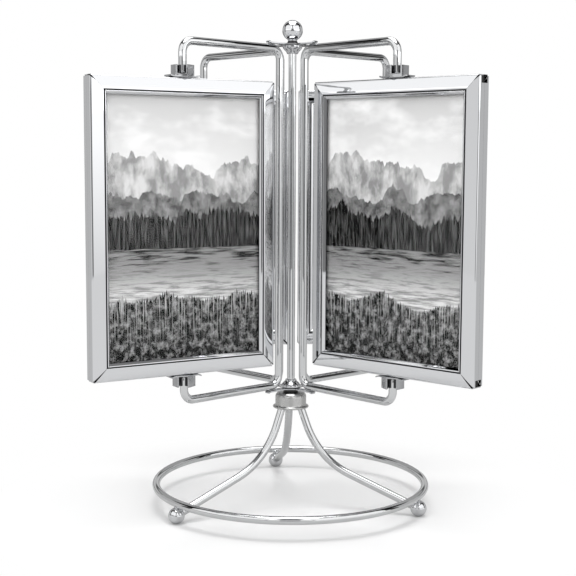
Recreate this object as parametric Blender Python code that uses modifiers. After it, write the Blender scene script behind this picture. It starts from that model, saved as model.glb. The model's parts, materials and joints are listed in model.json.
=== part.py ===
"""Rotating photo display stand.

A wire ring stands on three ball feet. Three legs rise from it to a pressed cup, which holds a bush.
The carousel turns in that bush: a rod, four bent wires that share it, a spider plate and a collar at
each end, and a ball finial. Each wire holds a double-sided frame between its two pins, and the frame
turns on them. Metres, +Z up, standing on the plane Z = 0.
"""

import math

import bmesh
import bpy
from mathutils import Matrix, Vector

# Clearances between separate pieces
SEAT_GAP = 0.0003
RUNNING_GAP = 0.0001

# The spindle's place, which puts the middle of the whole part's outline over the origin
SPINDLE_X = -0.0015
SPINDLE_Y = 0.0072

# Base ring, feet and legs
RING_RADIUS = 0.0842
RING_WIRE_R = 0.0024
FOOT_R = 0.0049
FOOT_FLAT_R = 0.0012
LEG_AZIMUTHS = {"front_left": -142.9, "front_right": -22.9, "rear": 97.1}
LEG_WIRE_R = 0.0024
LEG_SLOPE = 20.0
LEG_STEEPNESS = 69.0
LEG_BEND = 0.049
LEG_TOP_BEND = 0.008
LEG_TIP_DEPTH = 0.0022

# Hub: the cup over the legs, the core they carry and the bush
CUP_RIM_Z = 0.0598
CUP_HEIGHT = 0.0099
CUP_R = 0.00965
CUP_WALL = 0.0005
CUP_SHOULDER = 0.0030
CUP_BRIM_R = 0.0112
CUP_BRIM_BEAD = 0.0007
CUP_BRIM_HEIGHT = 0.0022
CORE_THICKNESS = 0.0036
BUSH_FLANGE_R = 0.0048
BUSH_FLANGE = 0.0014
BUSH_STEM_R = 0.0034
BUSH_STEM_BELOW_CORE = 0.0016

# Carousel
ROD_R = 0.0024
RETAINER_R = 0.0034
RETAINER_THICKNESS = 0.0017
ROD_BELOW_RETAINER = 0.0004
ARM_WIRE_R = 0.0024
ARM_ORBIT = 0.0105
ARM_BEND = 0.0065
ARM_AZIMUTHS = {"front_left": 225.0, "front_right": 315.0, "rear_left": 135.0, "rear_right": 45.0}
CAROUSEL_TURN = -1.5
LOWER_ARM_TO_FRAME = 0.0161
FRAME_TO_UPPER_ARM = 0.0211
PLATE_THICKNESS = 0.0008
PLATE_HUB_R = 0.0065
PLATE_FLAT_REACH = 0.0180
PLATE_TIP_REACH = 0.0203
PLATE_TIP_WIDTH = 0.0035
PLATE_TIP_LIFT = 0.0009
COLLAR_R = 0.0060
COLLAR_TIP_R = 0.0034
COLLAR_HEIGHT = 0.0048
COLLAR_BAND = 0.0008
FINIAL_R = 0.00625
FINIAL_NECK_R = 0.0027
FINIAL_FOOT_R = 0.0034
FINIAL_NECK = 0.0015
FINIAL_BORE = 0.0055

# Frames
FRAME_WIDTH = 0.115
FRAME_HEIGHT = 0.168
FRAME_SWING_GAP = 0.0046
FRAME_YAWS = {"front_left": 32.8, "front_right": -40.3, "rear_left": -4.4, "rear_right": 1.7}
EDGE_THICKNESS = 0.0094
BEZEL_WALL = 0.0005
BEZEL_CORNER_R = 0.0005
BEZEL_RISE = 0.0007
RAIL_WIDTH = 0.0102
BEAD_R = 0.0008
BEAD_INSET = 0.0080
LIP_DEPTH = 0.0039
NOTCH_HEIGHT = 0.0039
NOTCH_WIDTH = 0.0055
NOTCH_TOP_WALL = 0.0006
GLASS_THICKNESS = 0.0012
PRINT_THICKNESS = 0.0003
PRINT_MARGIN = 0.0062
PANE_CLEARANCE = 0.0004

# Sockets that hold a frame on its pins
SOCKET_CORNER_R = 0.0066
SOCKET_HEIGHT = 0.0070
SOCKET_FLOOR = 0.0022
SOCKET_PLATE = 0.0008
SOCKET_PLATE_LENGTH = 0.0185
SOCKET_PLATE_WIDTH = 0.0086
SOCKET_TURN_UP = 0.0006
SOCKET_TURN_LENGTH = 0.0020
SLOT_OFF_NORMAL = 30.0

# Facets
TURN_STEPS = 28
BEND_STEPS = 6
LEG_STEPS = 10
RING_STEPS = 64
WIRE_RESOLUTION = 3

# Heights and reaches that follow from the sizes above
FOOT_Z = math.sqrt(FOOT_R**2 - FOOT_FLAT_R**2)
RING_Z = FOOT_Z + FOOT_R + SEAT_GAP + RING_WIRE_R
CUP_TOP = CUP_RIM_Z + CUP_HEIGHT
CORE_TOP = CUP_TOP - CUP_WALL - SEAT_GAP
CORE_BOTTOM = CORE_TOP - CORE_THICKNESS
BUSH_BOTTOM = CORE_BOTTOM - BUSH_STEM_BELOW_CORE
BUSH_FLANGE_BOTTOM = CUP_TOP + SEAT_GAP
BUSH_TOP = BUSH_FLANGE_BOTTOM + BUSH_FLANGE
RETAINER_TOP = BUSH_BOTTOM - SEAT_GAP
ROD_BOTTOM = RETAINER_TOP - RETAINER_THICKNESS - ROD_BELOW_RETAINER
LOWER_PLATE_TOP = BUSH_TOP + SEAT_GAP + PLATE_THICKNESS
LOWER_ARM_Z = LOWER_PLATE_TOP + SEAT_GAP + ARM_WIRE_R
FRAME_BOTTOM = LOWER_ARM_Z + LOWER_ARM_TO_FRAME
FRAME_TOP = FRAME_BOTTOM + FRAME_HEIGHT
FRAME_MIDDLE = (FRAME_BOTTOM + FRAME_TOP) / 2
UPPER_ARM_Z = FRAME_TOP + FRAME_TO_UPPER_ARM
UPPER_PLATE_BOTTOM = UPPER_ARM_Z + ARM_WIRE_R + SEAT_GAP
UPPER_PLATE_TOP = UPPER_PLATE_BOTTOM + PLATE_THICKNESS
FINIAL_BOTTOM = UPPER_PLATE_TOP + SEAT_GAP
FINIAL_Z = FINIAL_BOTTOM + FINIAL_NECK + FINIAL_R
ROD_TOP = FINIAL_BOTTOM + FINIAL_BORE - SEAT_GAP
BEAD_CREST = EDGE_THICKNESS / 2 + BEZEL_RISE + BEAD_R / 2
ARM_REACH = (2 * math.hypot(FRAME_WIDTH / 2, BEAD_CREST) + FRAME_SWING_GAP) / math.sqrt(2)
GLASS_FRONT = LIP_DEPTH - BEZEL_WALL - SEAT_GAP
PRINT_FRONT = GLASS_FRONT - GLASS_THICKNESS - SEAT_GAP
BOARD_HALF = PRINT_FRONT - PRINT_THICKNESS - SEAT_GAP

for thing in list(bpy.data.objects):
    bpy.data.objects.remove(thing, do_unlink=True)

PARTS = bpy.data.collections.new("rotating_photo_display_stand")
CUTTERS = bpy.data.collections.new("cutters")
bpy.context.scene.collection.children.link(PARTS)
bpy.context.scene.collection.children.link(CUTTERS)


def material(name, colour, metallic, roughness, transmission=0.0):
    """Make a material with one Principled BSDF."""
    made = bpy.data.materials.new(name)
    made.use_nodes = True
    surface = made.node_tree.nodes["Principled BSDF"]
    surface.inputs["Base Color"].default_value = (*colour, 1.0)
    surface.inputs["Metallic"].default_value = metallic
    surface.inputs["Roughness"].default_value = roughness
    surface.inputs["Transmission Weight"].default_value = transmission
    return made


CHROME = material("chrome", (0.78, 0.78, 0.79), 1.0, 0.06)
SATIN_STEEL = material("satin_steel", (0.62, 0.62, 0.62), 1.0, 0.34)
PLATED_ZINC = material("plated_zinc", (0.52, 0.52, 0.53), 1.0, 0.22)
DARK_STEEL = material("dark_steel", (0.30, 0.30, 0.31), 1.0, 0.40)
BLACK_NYLON = material("black_nylon", (0.015, 0.015, 0.015), 0.0, 0.45)
CLEAR_GLASS = material("clear_glass", (0.93, 0.95, 0.95), 0.0, 0.02, 1.0)
PHOTO_PAPER = material("photo_paper", (0.42, 0.42, 0.42), 0.0, 0.25)
BLACK_BOARD = material("black_board", (0.03, 0.03, 0.03), 0.0, 0.85)


def empty(name, parent, location, turn=0.0):
    """Make the empty that a joint's moving body hangs on, with its origin on the joint's axis."""
    made = bpy.data.objects.new(name, None)
    PARTS.objects.link(made)
    made.parent = parent
    made.location = location
    made.rotation_euler.z = math.radians(turn)
    return made


def add(name, data, surface, parent, location=(0.0, 0.0, 0.0), turn=(0.0, 0.0, 0.0)):
    """Put a mesh or a curve into the scene as one named piece."""
    made = bpy.data.objects.new(name, data)
    PARTS.objects.link(made)
    made.parent = parent
    made.location = location
    made.rotation_euler = turn
    if not data.materials:
        data.materials.append(surface)
    return made


def shade(mesh, angle=40.0):
    """Shade a mesh smooth, with a crease where it turns by more than the angle."""
    mesh.shade_smooth()
    mesh.set_sharp_from_angle(angle=math.radians(angle))


def evaluated_mesh(thing):
    """Return a welded mesh of an object as its modifiers or its bevel leave it."""
    depsgraph = bpy.context.evaluated_depsgraph_get()
    mesh = bpy.data.meshes.new_from_object(thing.evaluated_get(depsgraph))
    bm = bmesh.new()
    bm.from_mesh(mesh)
    bmesh.ops.remove_doubles(bm, verts=bm.verts, dist=0.000001)
    bm.to_mesh(mesh)
    bm.free()
    return mesh


def cutter(name, mesh, matrix, parent=None):
    """Add a shape that only cuts."""
    made = bpy.data.objects.new(name, mesh)
    CUTTERS.objects.link(made)
    made.parent = parent
    made.matrix_local = matrix
    made.hide_render = True
    made.display_type = "WIRE"
    return made


def boolean(target, tool, operation="DIFFERENCE"):
    """Cut, or join, with the exact solver."""
    modifier = target.modifiers.new(tool.name, "BOOLEAN")
    modifier.object = tool
    modifier.operation = operation
    modifier.solver = "EXACT"


def cylinder_mesh(name, radius, depth, segments):
    """A closed cylinder about its own middle, along Z."""
    bm = bmesh.new()
    bmesh.ops.create_cone(
        bm, cap_ends=True, segments=segments, radius1=radius, radius2=radius, depth=depth
    )
    mesh = bpy.data.meshes.new(name)
    bm.to_mesh(mesh)
    bm.free()
    return mesh


def box_mesh(name, size):
    """A closed box about its own middle."""
    bm = bmesh.new()
    bmesh.ops.create_cube(bm, size=1.0)
    bmesh.ops.scale(bm, verts=bm.verts, vec=size)
    mesh = bpy.data.meshes.new(name)
    bm.to_mesh(mesh)
    bm.free()
    return mesh


def arc(centre, radius, start, end, steps):
    """Points of an arc in a profile, from one angle to another in degrees."""
    points = []
    for step in range(steps + 1):
        angle = math.radians(start + (end - start) * step / steps)
        points.append((centre[0] + radius * math.cos(angle), centre[1] + radius * math.sin(angle)))
    return points


def turned(name, profile, surface, parent, ring=True):
    """Turn a profile of (radius, height) about Z. A ring's profile closes on itself."""
    bm = bmesh.new()
    verts = [bm.verts.new((radius, 0.0, height)) for radius, height in profile]
    pairs = list(zip(verts, verts[1:]))
    if ring:
        pairs.append((verts[-1], verts[0]))
    for pair in pairs:
        bm.edges.new(pair)
    mesh = bpy.data.meshes.new(name)
    bm.to_mesh(mesh)
    bm.free()
    made = add(name, mesh, surface, parent)
    screw = made.modifiers.new("turn", "SCREW")
    screw.steps = TURN_STEPS
    screw.render_steps = TURN_STEPS
    screw.use_merge_vertices = True
    screw.merge_threshold = 0.00001
    screw.use_smooth_shade = True
    return made


def bent_path(corners, bends):
    """Run through the corners, and turn each inner one on its (bend radius, steps)."""
    points = [corners[0]]
    for before, corner, after, (bend, steps) in zip(corners, corners[1:], corners[2:], bends):
        into = (corner - before).normalized()
        out = (after - corner).normalized()
        turn = into.angle(out)
        start = corner - into * bend * math.tan(turn / 2)
        inward = (out - into * into.dot(out)).normalized()
        centre = start + inward * bend
        for step in range(steps + 1):
            angle = turn * step / steps
            points.append(centre + bend * (into * math.sin(angle) - inward * math.cos(angle)))
    points.append(corners[-1])
    return points


def wire(name, points, radius, parent, azimuth):
    """A round wire whose path lies in the upright plane through the spindle at an azimuth."""
    curve = bpy.data.curves.new(name, "CURVE")
    curve.dimensions = "3D"
    curve.bevel_depth = radius
    curve.bevel_resolution = WIRE_RESOLUTION
    curve.use_fill_caps = True
    spline = curve.splines.new("POLY")
    spline.points.add(len(points) - 1)
    for target, point in zip(spline.points, points):
        target.co = (*point, 1.0)
    return add(name, curve, CHROME, parent, turn=(0.0, 0.0, math.radians(azimuth)))


def leg_direction():
    """Which way the straight outer run of a leg points, out and down its slope."""
    slope = math.radians(LEG_SLOPE)
    return Vector((math.cos(slope), 0.0, -math.sin(slope)))


def leg_tip():
    """The end of a leg's centre line, seated in its ball foot and in line with the ball's middle."""
    return Vector((RING_RADIUS, 0.0, FOOT_Z)) - leg_direction() * (FOOT_R - LEG_TIP_DEPTH)


def leg_path():
    """A leg's centre line, from inside the cup down to its foot."""
    tip = leg_tip()
    upright_reach = CUP_R - CUP_WALL - SEAT_GAP - LEG_WIRE_R
    top = Vector((upright_reach, 0.0, CORE_BOTTOM - SEAT_GAP))
    neck = Vector((upright_reach, 0.0, CUP_RIM_Z + 2 * CUP_BRIM_BEAD))
    steep = math.tan(math.radians(LEG_STEEPNESS))
    shallow = math.tan(math.radians(LEG_SLOPE))
    rise = neck.z - tip.z + steep * neck.x - shallow * tip.x
    knee_reach = rise / (steep - shallow)
    knee = Vector((knee_reach, 0.0, neck.z - steep * (knee_reach - neck.x)))
    return bent_path([top, neck, knee, tip], [(LEG_TOP_BEND, 3), (LEG_BEND, LEG_STEPS)])


def make_base(parent):
    """The ring on its three ball feet, and the leg that each ball holds."""
    bpy.ops.mesh.primitive_torus_add(
        major_radius=RING_RADIUS,
        minor_radius=RING_WIRE_R,
        major_segments=RING_STEPS,
        minor_segments=2 * WIRE_RESOLUTION + 4,
    )
    ring = bpy.context.object
    for collection in list(ring.users_collection):
        collection.objects.unlink(ring)
    PARTS.objects.link(ring)
    ring.name = "base_ring"
    ring.parent = parent
    ring.location.z = RING_Z
    ring.data.materials.append(CHROME)
    shade(ring.data)
    for place, azimuth in LEG_AZIMUTHS.items():
        wire(f"{place}_leg", leg_path(), LEG_WIRE_R, parent, azimuth)
        make_foot(f"{place}_foot", parent, azimuth)


def make_foot(name, parent, azimuth):
    """A ball with a small flat to stand on and a seat cut for the end of its leg."""
    flat_angle = -90.0 + math.degrees(math.asin(FOOT_FLAT_R / FOOT_R))
    outline = [(0.0, FOOT_R)] + arc((0.0, 0.0), FOOT_R, 90.0, flat_angle, 12)[1:] + [(0.0, -FOOT_Z)]
    foot = turned(name, outline, CHROME, parent, ring=False)
    turn = math.radians(azimuth)
    foot.location = (RING_RADIUS * math.cos(turn), RING_RADIUS * math.sin(turn), FOOT_Z)
    foot.rotation_euler.z = turn
    direction = leg_direction()
    length = 4 * FOOT_R
    seat = leg_tip() + direction * SEAT_GAP - Vector((RING_RADIUS, 0.0, FOOT_Z))
    tool_turn = direction.to_track_quat("Z", "Y").to_matrix().to_4x4()
    place = Matrix.Translation(seat - direction * length / 2) @ tool_turn
    tool_mesh = cylinder_mesh(f"{name}_seat", LEG_WIRE_R + SEAT_GAP, length, TURN_STEPS)
    boolean(foot, cutter(f"{name}_seat", tool_mesh, place, foot))


def make_hub(parent):
    """The pressed cup, the steel core under its top and the nylon bush through both."""
    stem_hole = BUSH_STEM_R + SEAT_GAP
    bead = (CUP_BRIM_R - CUP_BRIM_BEAD, CUP_RIM_Z + CUP_BRIM_BEAD)
    inner = CUP_R - CUP_WALL
    inner_shoulder = CUP_SHOULDER - CUP_WALL
    shoulder = (CUP_R - CUP_SHOULDER, CUP_TOP - CUP_SHOULDER)
    outside = [(stem_hole, CUP_TOP)]
    outside += arc(shoulder, CUP_SHOULDER, 90.0, 0.0, 5)
    outside += [(CUP_R, CUP_RIM_Z + CUP_BRIM_HEIGHT)]
    outside += arc(bead, CUP_BRIM_BEAD, 60.0, -90.0, 5)
    inside = [(inner + CUP_WALL, CUP_RIM_Z + CUP_BRIM_BEAD), (inner, CUP_RIM_Z + CUP_BRIM_HEIGHT)]
    inside += arc(shoulder, inner_shoulder, 0.0, 90.0, 4)
    inside += [(stem_hole, CUP_TOP - CUP_WALL)]
    turned("hub_cup", outside + inside, SATIN_STEEL, parent)

    core_r = inner - SEAT_GAP
    core = [(stem_hole, CORE_TOP), (core_r - inner_shoulder, CORE_TOP)]
    core += [(core_r, CORE_TOP - inner_shoulder), (core_r, CORE_BOTTOM), (stem_hole, CORE_BOTTOM)]
    turned("hub_core", core, DARK_STEEL, parent)

    bore = ROD_R + RUNNING_GAP
    bush = [(bore, BUSH_TOP), (BUSH_FLANGE_R, BUSH_TOP), (BUSH_FLANGE_R, BUSH_FLANGE_BOTTOM)]
    bush += [(BUSH_STEM_R, BUSH_FLANGE_BOTTOM), (BUSH_STEM_R, BUSH_BOTTOM), (bore, BUSH_BOTTOM)]
    turned("pivot_bush", bush, BLACK_NYLON, parent)


def make_spider_plate(name, parent, height, upward):
    """A thin four-armed plate over the wire bends, its tips curled away from them."""
    bm = bmesh.new()
    corner_r = PLATE_HUB_R / math.cos(math.pi / 8)
    bmesh.ops.create_circle(bm, cap_ends=True, segments=8, radius=corner_r)
    bmesh.ops.rotate(bm, verts=bm.verts, matrix=Matrix.Rotation(math.pi / 8, 3, "Z"))
    hub_edges = list(bm.edges)
    arm_width = hub_edges[0].calc_length()
    curl = PLATE_TIP_REACH - PLATE_FLAT_REACH
    for azimuth in ARM_AZIMUTHS.values():
        turn = math.radians(azimuth)
        outward = Vector((math.cos(turn), math.sin(turn), 0.0))
        edge = max(hub_edges, key=lambda e: (e.verts[0].co + e.verts[1].co).dot(outward))
        reached = PLATE_HUB_R
        lifted = 0.0
        for reach, lift, width in (
            (PLATE_FLAT_REACH, 0.0, arm_width),
            (PLATE_FLAT_REACH + curl / 2, PLATE_TIP_LIFT / 4, (arm_width + PLATE_TIP_WIDTH) / 2),
            (PLATE_TIP_REACH, PLATE_TIP_LIFT, PLATE_TIP_WIDTH),
        ):
            grown = bmesh.ops.extrude_edge_only(bm, edges=[edge])["geom"]
            moved = [item for item in grown if isinstance(item, bmesh.types.BMVert)]
            step = outward * (reach - reached) + Vector((0.0, 0.0, lift - lifted))
            bmesh.ops.translate(bm, verts=moved, vec=step)
            middle = (moved[0].co + moved[1].co) / 2
            narrowed = width / (moved[0].co - moved[1].co).length
            for vert in moved:
                vert.co = middle + (vert.co - middle) * narrowed
            edge = next(item for item in grown if isinstance(item, bmesh.types.BMEdge))
            reached = reach
            lifted = lift
    bmesh.ops.recalc_face_normals(bm, faces=bm.faces)
    if sum(face.normal.z for face in bm.faces) < 0:
        bmesh.ops.reverse_faces(bm, faces=bm.faces)
    mesh = bpy.data.meshes.new(name)
    bm.to_mesh(mesh)
    bm.free()
    plate = add(name, mesh, CHROME, parent, location=(0.0, 0.0, height))
    if not upward:
        plate.rotation_euler.x = math.pi
    sheet = plate.modifiers.new("sheet", "SOLIDIFY")
    sheet.thickness = PLATE_THICKNESS
    sheet.offset = 1.0
    sheet.use_even_offset = True
    hole = cylinder_mesh(f"{name}_hole", ROD_R + SEAT_GAP, 8 * PLATE_THICKNESS, TURN_STEPS)
    boolean(plate, cutter(f"{name}_hole", hole, Matrix.Identity(4), plate))


def make_collar(name, parent, height, upward):
    """A bell-shaped collar round the rod, its wide band against a spider plate."""
    bore = ROD_R + SEAT_GAP
    bell = [(bore, 0.0), (COLLAR_R, 0.0), (COLLAR_R, -COLLAR_BAND)]
    steps = 6
    for step in range(1, steps + 1):
        along = step / steps
        radius = COLLAR_TIP_R + (COLLAR_R - COLLAR_TIP_R) * (1 + math.cos(math.pi * along)) / 2
        bell.append((radius, -COLLAR_BAND - (COLLAR_HEIGHT - COLLAR_BAND) * along))
    bell.append((bore, -COLLAR_HEIGHT))
    collar = turned(name, bell, CHROME, parent)
    collar.location.z = height
    if upward:
        collar.rotation_euler.x = math.pi


def make_spindle(parent):
    """The rod, what holds it in the bush, and the fittings at both ends of the wire bundle."""
    rod_length = ROD_TOP - ROD_BOTTOM
    rod = cylinder_mesh("centre_rod", ROD_R, rod_length, TURN_STEPS)
    shade(rod)
    add("centre_rod", rod, CHROME, parent, location=(0.0, 0.0, (ROD_TOP + ROD_BOTTOM) / 2))

    bore = ROD_R + SEAT_GAP
    low = RETAINER_TOP - RETAINER_THICKNESS
    retainer = [(bore, RETAINER_TOP), (RETAINER_R, RETAINER_TOP), (RETAINER_R, low), (bore, low)]
    turned("retaining_collar", retainer, DARK_STEEL, parent)

    make_spider_plate("upper_plate", parent, UPPER_PLATE_BOTTOM, upward=True)
    make_spider_plate("lower_plate", parent, LOWER_PLATE_TOP, upward=False)
    make_collar("upper_collar", parent, UPPER_PLATE_BOTTOM - SEAT_GAP, upward=False)
    make_collar("lower_collar", parent, LOWER_PLATE_TOP + SEAT_GAP, upward=True)

    neck_angle = -90.0 + math.degrees(math.asin(FINIAL_NECK_R / FINIAL_R))
    ball = arc((0.0, FINIAL_Z), FINIAL_R, 90.0, neck_angle, 12)
    finial = [(0.0, FINIAL_Z + FINIAL_R)] + ball[1:]
    finial += [(FINIAL_FOOT_R, FINIAL_BOTTOM), (bore, FINIAL_BOTTOM)]
    finial += [(bore, FINIAL_BOTTOM + FINIAL_BORE), (0.0, FINIAL_BOTTOM + FINIAL_BORE)]
    turned("ball_finial", finial, CHROME, parent, ring=False)


def arm_path():
    """A carousel wire's centre line, from its upper pin in to the spindle, down it and out again."""
    upper_pin = FRAME_TOP + SEAT_GAP + SOCKET_FLOOR + SEAT_GAP
    lower_pin = FRAME_BOTTOM - SEAT_GAP - SOCKET_PLATE - SEAT_GAP
    corners = [
        Vector((ARM_REACH, 0.0, upper_pin)),
        Vector((ARM_REACH, 0.0, UPPER_ARM_Z)),
        Vector((ARM_ORBIT, 0.0, UPPER_ARM_Z)),
        Vector((ARM_ORBIT, 0.0, LOWER_ARM_Z)),
        Vector((ARM_REACH, 0.0, LOWER_ARM_Z)),
        Vector((ARM_REACH, 0.0, lower_pin)),
    ]
    return bent_path(corners, [(ARM_BEND, BEND_STEPS)] * 4)


def bezel_profile():
    """The pressed rail's outer side, as (inset from the frame's edge, height over its mid plane)."""
    edge = EDGE_THICKNESS / 2
    bead = (BEAD_INSET + BEAD_R, edge + BEZEL_RISE - BEAD_R / 2)
    profile = [(0.0, SEAT_GAP / 2)]
    profile += arc((BEZEL_CORNER_R, edge - BEZEL_CORNER_R), BEZEL_CORNER_R, 180.0, 90.0, 2)
    profile += arc(bead, BEAD_R, 150.0, 0.0, 5)
    profile += [(BEAD_INSET + 2 * BEAD_R, LIP_DEPTH), (RAIL_WIDTH, LIP_DEPTH)]
    return profile


def bezel_mesh(name, open_side):
    """One mitred bezel: the rail's profile run round the frame, with open rail ends on one side."""
    rail = bpy.data.curves.new("rail_profile", "CURVE")
    rail.dimensions = "2D"
    spline = rail.splines.new("POLY")
    profile = bezel_profile()
    spline.points.add(len(profile) - 1)
    for target, (inset, height) in zip(spline.points, profile):
        target.co = (inset, height, 0.0, 1.0)
    guide = bpy.data.objects.new("rail_profile", rail)
    CUTTERS.objects.link(guide)
    guide.hide_render = True

    outline = bpy.data.curves.new("bezel_outline", "CURVE")
    outline.dimensions = "2D"
    outline.fill_mode = "NONE"
    outline.bevel_mode = "OBJECT"
    outline.bevel_object = guide
    spline = outline.splines.new("POLY")
    spline.points.add(3)
    spline.use_cyclic_u = True
    half_width = FRAME_WIDTH / 2
    half_height = FRAME_HEIGHT / 2
    corners = [(-1, -1), (1, -1), (1, 1), (-1, 1)]
    for target, (side, level) in zip(spline.points, corners):
        target.co = (side * half_width, level * half_height, 0.0, 1.0)
    shell = bpy.data.objects.new("bezel_outline", outline)
    CUTTERS.objects.link(shell)
    sheet = bpy.data.objects.new("bezel_sheet", evaluated_mesh(shell))
    CUTTERS.objects.link(sheet)
    wall = sheet.modifiers.new("wall", "SOLIDIFY")
    wall.thickness = BEZEL_WALL
    wall.offset = -1.0
    wall.use_even_offset = True
    notch = box_mesh(f"{name}_rail_end", (FRAME_WIDTH, NOTCH_HEIGHT, NOTCH_WIDTH))
    notch_level = half_height - NOTCH_TOP_WALL - NOTCH_HEIGHT / 2
    for level in (1, -1):
        place = Matrix.Translation((open_side * half_width, level * notch_level, 0.0))
        boolean(sheet, cutter(f"{name}_rail_end_{level}", notch, place))
    mesh = evaluated_mesh(sheet)
    mesh.name = name
    shade(mesh, 30.0)
    for spare in (guide, shell, sheet):
        bpy.data.objects.remove(spare, do_unlink=True)
    return mesh


def socket_mesh(name, floor, slot_angle):
    """A hexagonal socket on its strap, bored for a pin and slotted to one side down to its floor."""
    half = SOCKET_PLATE_LENGTH / 2
    turn_from = half - SOCKET_TURN_LENGTH
    under = [(-half, SOCKET_TURN_UP), (-turn_from, 0.0), (turn_from, 0.0), (half, SOCKET_TURN_UP)]
    over = [(x, z + SOCKET_PLATE) for x, z in reversed(under)]
    strap = bpy.data.curves.new(f"{name}_strap", "CURVE")
    strap.dimensions = "2D"
    strap.fill_mode = "BOTH"
    strap.extrude = SOCKET_PLATE_WIDTH / 2
    spline = strap.splines.new("POLY")
    spline.points.add(len(under + over) - 1)
    spline.use_cyclic_u = True
    for target, (x, z) in zip(spline.points, under + over):
        target.co = (x, z, 0.0, 1.0)
    flat = bpy.data.objects.new(f"{name}_flat", strap)
    CUTTERS.objects.link(flat)
    body = bpy.data.objects.new(f"{name}_body", evaluated_mesh(flat))
    CUTTERS.objects.link(body)
    body.data.transform(Matrix.Rotation(math.pi / 2, 4, "X"))

    hexagon = cylinder_mesh(f"{name}_hexagon", SOCKET_CORNER_R, SOCKET_HEIGHT, 6)
    stand_up = Matrix.Translation((0.0, 0.0, SOCKET_HEIGHT / 2))
    boolean(body, cutter(f"{name}_hexagon", hexagon, stand_up), "UNION")

    bore_r = ARM_WIRE_R + RUNNING_GAP
    depth = 2 * SOCKET_HEIGHT
    bore = cylinder_mesh(f"{name}_bore", bore_r, depth, TURN_STEPS)
    rise = Matrix.Translation((0.0, 0.0, floor + depth / 2))
    boolean(body, cutter(f"{name}_bore", bore, rise))
    slot = box_mesh(f"{name}_slot", (depth, 2 * bore_r, depth))
    aim = Matrix.Rotation(math.radians(slot_angle), 4, "Z")
    aside = Matrix.Translation((depth / 2, 0.0, 0.0))
    boolean(body, cutter(f"{name}_slot", slot, rise @ aim @ aside))
    mesh = evaluated_mesh(body)
    mesh.name = name
    shade(mesh, 30.0)
    for spare in (flat, body):
        bpy.data.objects.remove(spare, do_unlink=True)
    return mesh


def make_frames(carousel):
    """Four double-sided frames, each turning on the two pins of its wire."""
    bezels = {"front": bezel_mesh("front_bezel", 1), "back": bezel_mesh("back_bezel", -1)}
    pane_size = (
        FRAME_WIDTH - 2 * (BEZEL_WALL + PANE_CLEARANCE),
        FRAME_HEIGHT - 2 * (BEZEL_WALL + PANE_CLEARANCE),
    )
    print_size = (FRAME_WIDTH - 2 * PRINT_MARGIN, FRAME_HEIGHT - 2 * PRINT_MARGIN)
    glass = box_mesh("glass_pane", (pane_size[0], GLASS_THICKNESS, pane_size[1]))
    photo = box_mesh("photo_print", (print_size[0], PRINT_THICKNESS, print_size[1]))
    board = box_mesh("backing_board", (pane_size[0], 2 * BOARD_HALF, pane_size[1]))
    quarter = math.pi / 2
    sockets = {}
    for hand, side in (("left", -1), ("right", 1)):
        slot = -90.0 + side * SLOT_OFF_NORMAL
        sockets[hand, "top"] = socket_mesh(f"top_socket_{hand}", SOCKET_FLOOR, slot)
        sockets[hand, "bottom"] = socket_mesh(f"bottom_socket_{hand}", SOCKET_PLATE, -slot)
    for place, azimuth in ARM_AZIMUTHS.items():
        wire(f"{place}_arm", arm_path(), ARM_WIRE_R, carousel, azimuth)
        turn = math.radians(azimuth)
        pivot_at = (ARM_REACH * math.cos(turn), ARM_REACH * math.sin(turn), FRAME_MIDDLE)
        pivot = empty(f"{place}_pivot", carousel, pivot_at, FRAME_YAWS[place])
        for face, facing, yaw in (("front", -1, 0.0), ("back", 1, math.pi)):
            add(f"{place}_{face}_bezel", bezels[face], CHROME, pivot, turn=(quarter, 0.0, yaw))
            glass_at = (0.0, facing * (GLASS_FRONT - GLASS_THICKNESS / 2), 0.0)
            add(f"{place}_{face}_glass", glass, CLEAR_GLASS, pivot, glass_at)
            print_at = (0.0, facing * (PRINT_FRONT - PRINT_THICKNESS / 2), 0.0)
            add(f"{place}_{face}_print", photo, PHOTO_PAPER, pivot, print_at)
        add(f"{place}_backing_board", board, BLACK_BOARD, pivot)
        hand = place.split("_")[1]
        seat = FRAME_HEIGHT / 2 + SEAT_GAP
        top = sockets[hand, "top"]
        bottom = sockets[hand, "bottom"]
        add(f"{place}_top_socket", top, PLATED_ZINC, pivot, (0.0, 0.0, seat))
        add(f"{place}_bottom_socket", bottom, PLATED_ZINC, pivot, (0.0, 0.0, -seat), (math.pi, 0.0, 0.0))


stand = empty("stand_axis", None, (SPINDLE_X, SPINDLE_Y, 0.0))
carousel_axis = empty("carousel_axis", stand, (0.0, 0.0, 0.0), CAROUSEL_TURN)
make_base(stand)
make_hub(stand)
make_spindle(carousel_axis)
make_frames(carousel_axis)
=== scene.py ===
"""A rotating photo display stand, dressed over its CAD frame.

Four double-sided picture frames turn on bent chrome wires round one rod, over a wire ring on ball feet.
Metres, +Z up, in the CAD model's own frame.
"""

import json
import math

import bmesh
import bpy
from mathutils import Matrix, Vector


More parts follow.
